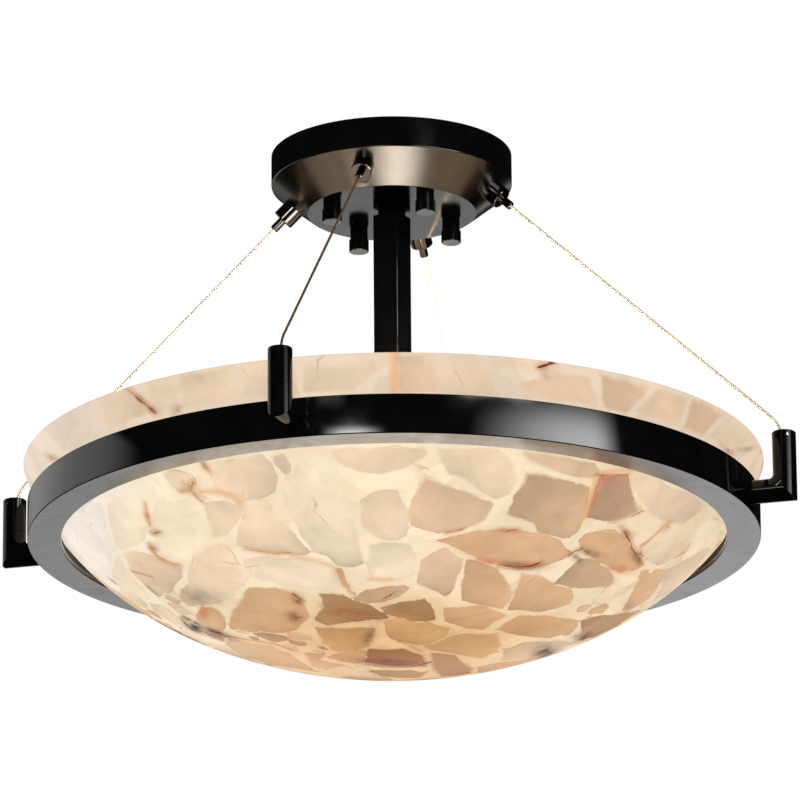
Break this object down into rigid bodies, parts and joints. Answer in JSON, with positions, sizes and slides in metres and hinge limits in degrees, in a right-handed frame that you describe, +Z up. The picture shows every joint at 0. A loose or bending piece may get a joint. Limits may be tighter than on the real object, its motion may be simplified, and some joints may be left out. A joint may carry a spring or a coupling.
{
  "type": "semi flush ceiling light",
  "caption": "Stone bowl in a black angle ring, hung by steel cables from a round ceiling canopy with a square stem and a lamp cluster inside.",
  "frame": {"origin": "centre of the box screw holes on the mounting plate's top face, in the ceiling plane", "axes": "+Z up into the ceiling; the light hangs towards -Z; -Y is the side that the picture shows"},
  "size_m": [0.5376, 0.5376, 0.3599],
  "materials": {
    "canopy_metal": "satin dark nickel",
    "black_metal": "gloss black",
    "gripper_metal": "polished dark nickel",
    "cable_steel": "stranded, bronze tinted",
    "steel": "zinc plated",
    "ground_green": "green",
    "brass": "plain",
    "porcelain": "glazed",
    "lamp_cap": "plain",
    "lamp_glass": "frosted",
    "bowl_stone": "polished, lit from inside",
    "seat_rubber": "matt black"
  },
  "bodies": {
    "root": {"angle_ring": "black_metal", "arm_screws": "steel", "bowl_seat": "seat_rubber", "cable_back": "cable_steel", "cable_front": "cable_steel", "cable_left": "cable_steel", "cable_right": "cable_steel", "cable_stops": "steel", "canopy_shell": "canopy_metal", "cap_set_screws": "steel", "cluster_cover_screw": "black_metal", "gripper_barrel_back": "gripper_metal", "gripper_barrel_front": "gripper_metal", "gripper_barrel_left": "gripper_metal", "gripper_barrel_right": "gripper_metal", "gripper_lock_nuts": "steel", "gripper_springs": "steel", "ground_screw": "ground_green", "lamp_cluster_cover": "black_metal", "lamp_cluster_drum": "black_metal", "lamp_socket_a": "porcelain", "lamp_socket_b": "porcelain", "lamp_socket_c": "porcelain", "mounting_plate": "steel", "mounting_studs": "steel", "nipple_lock_nut": "steel", "nipple_washer": "steel", "post_cap_back": "black_metal", "post_cap_front": "black_metal", "post_cap_left": "black_metal", "post_cap_right": "black_metal", "post_elbow_back": "black_metal", "post_elbow_front": "black_metal", "post_elbow_left": "black_metal", "post_elbow_right": "black_metal", "socket_arm_tubes": "black_metal", "socket_contacts": "brass", "socket_screw_shells": "brass", "stem_neck": "black_metal", "stem_nipple": "brass", "stem_tube": "black_metal", "stud_lock_nuts": "steel"},
    "thumb_nut_1": {"thumb_nut_1": "black_metal"},
    "thumb_nut_2": {"thumb_nut_2": "black_metal"},
    "thumb_nut_3": {"thumb_nut_3": "black_metal"},
    "thumb_nut_4": {"thumb_nut_4": "black_metal"},
    "plunger_front": {"gripper_plunger_front": "gripper_metal"},
    "plunger_right": {"gripper_plunger_right": "gripper_metal"},
    "plunger_back": {"gripper_plunger_back": "gripper_metal"},
    "plunger_left": {"gripper_plunger_left": "gripper_metal"},
    "lamp_a": {"lamp_base_a": "lamp_cap", "lamp_glass_a": "lamp_glass"},
    "lamp_b": {"lamp_base_b": "lamp_cap", "lamp_glass_b": "lamp_glass"},
    "lamp_c": {"lamp_base_c": "lamp_cap", "lamp_glass_c": "lamp_glass"},
    "bowl": {"bowl": "bowl_stone"}
  },
  "joints": [
    {"name": "thumb_nut_1_turn", "type": "hinge", "parent": "root", "child": "thumb_nut_1", "pos_m": [0.02285, -0.04073, -0.048], "axis": [0, 0, -1], "range_deg": [0, 1080]},
    {"name": "thumb_nut_2_turn", "type": "hinge", "parent": "root", "child": "thumb_nut_2", "pos_m": [0.04073, 0.02285, -0.048], "axis": [0, 0, -1], "range_deg": [0, 1080]},
    {"name": "thumb_nut_3_turn", "type": "hinge", "parent": "root", "child": "thumb_nut_3", "pos_m": [-0.02285, 0.04073, -0.048], "axis": [0, 0, -1], "range_deg": [0, 1080]},
    {"name": "thumb_nut_4_turn", "type": "hinge", "parent": "root", "child": "thumb_nut_4", "pos_m": [-0.04073, -0.02285, -0.048], "axis": [0, 0, -1], "range_deg": [0, 1080]},
    {"name": "plunger_front_press", "type": "slide", "parent": "root", "child": "plunger_front", "axis": [0.1948, 0.7025, 0.6845], "range_m": [0, 0.003], "stiffness_N_per_m": 600, "springref_m": -0.003},
    {"name": "plunger_right_press", "type": "slide", "parent": "root", "child": "plunger_right", "axis": [-0.7025, 0.1948, 0.6845], "range_m": [0, 0.003], "stiffness_N_per_m": 600, "springref_m": -0.003},
    {"name": "plunger_back_press", "type": "slide", "parent": "root", "child": "plunger_back", "axis": [-0.1948, -0.7025, 0.6845], "range_m": [0, 0.003], "stiffness_N_per_m": 600, "springref_m": -0.003},
    {"name": "plunger_left_press", "type": "slide", "parent": "root", "child": "plunger_left", "axis": [0.7025, -0.1948, 0.6845], "range_m": [0, 0.003], "stiffness_N_per_m": 600, "springref_m": -0.003},
    {"name": "lamp_a_unscrew", "type": "hinge", "parent": "root", "child": "lamp_a", "pos_m": [0.0518, -0.03027, -0.262], "axis": [0.8634, -0.5045, 0], "range_deg": [0, 1080]},
    {"name": "lamp_b_unscrew", "type": "hinge", "parent": "root", "child": "lamp_b", "pos_m": [0.00031, 0.06, -0.262], "axis": [0.0052, 1, 0], "range_deg": [0, 1080]},
    {"name": "lamp_c_unscrew", "type": "hinge", "parent": "root", "child": "lamp_c", "pos_m": [-0.05212, -0.02973, -0.262], "axis": [-0.8686, -0.4955, 0], "range_deg": [0, 1080]},
    {"name": "bowl_lift", "type": "slide", "parent": "root", "child": "bowl", "axis": [0, 0, 1], "range_m": [0, 0.012]}
  ]
}
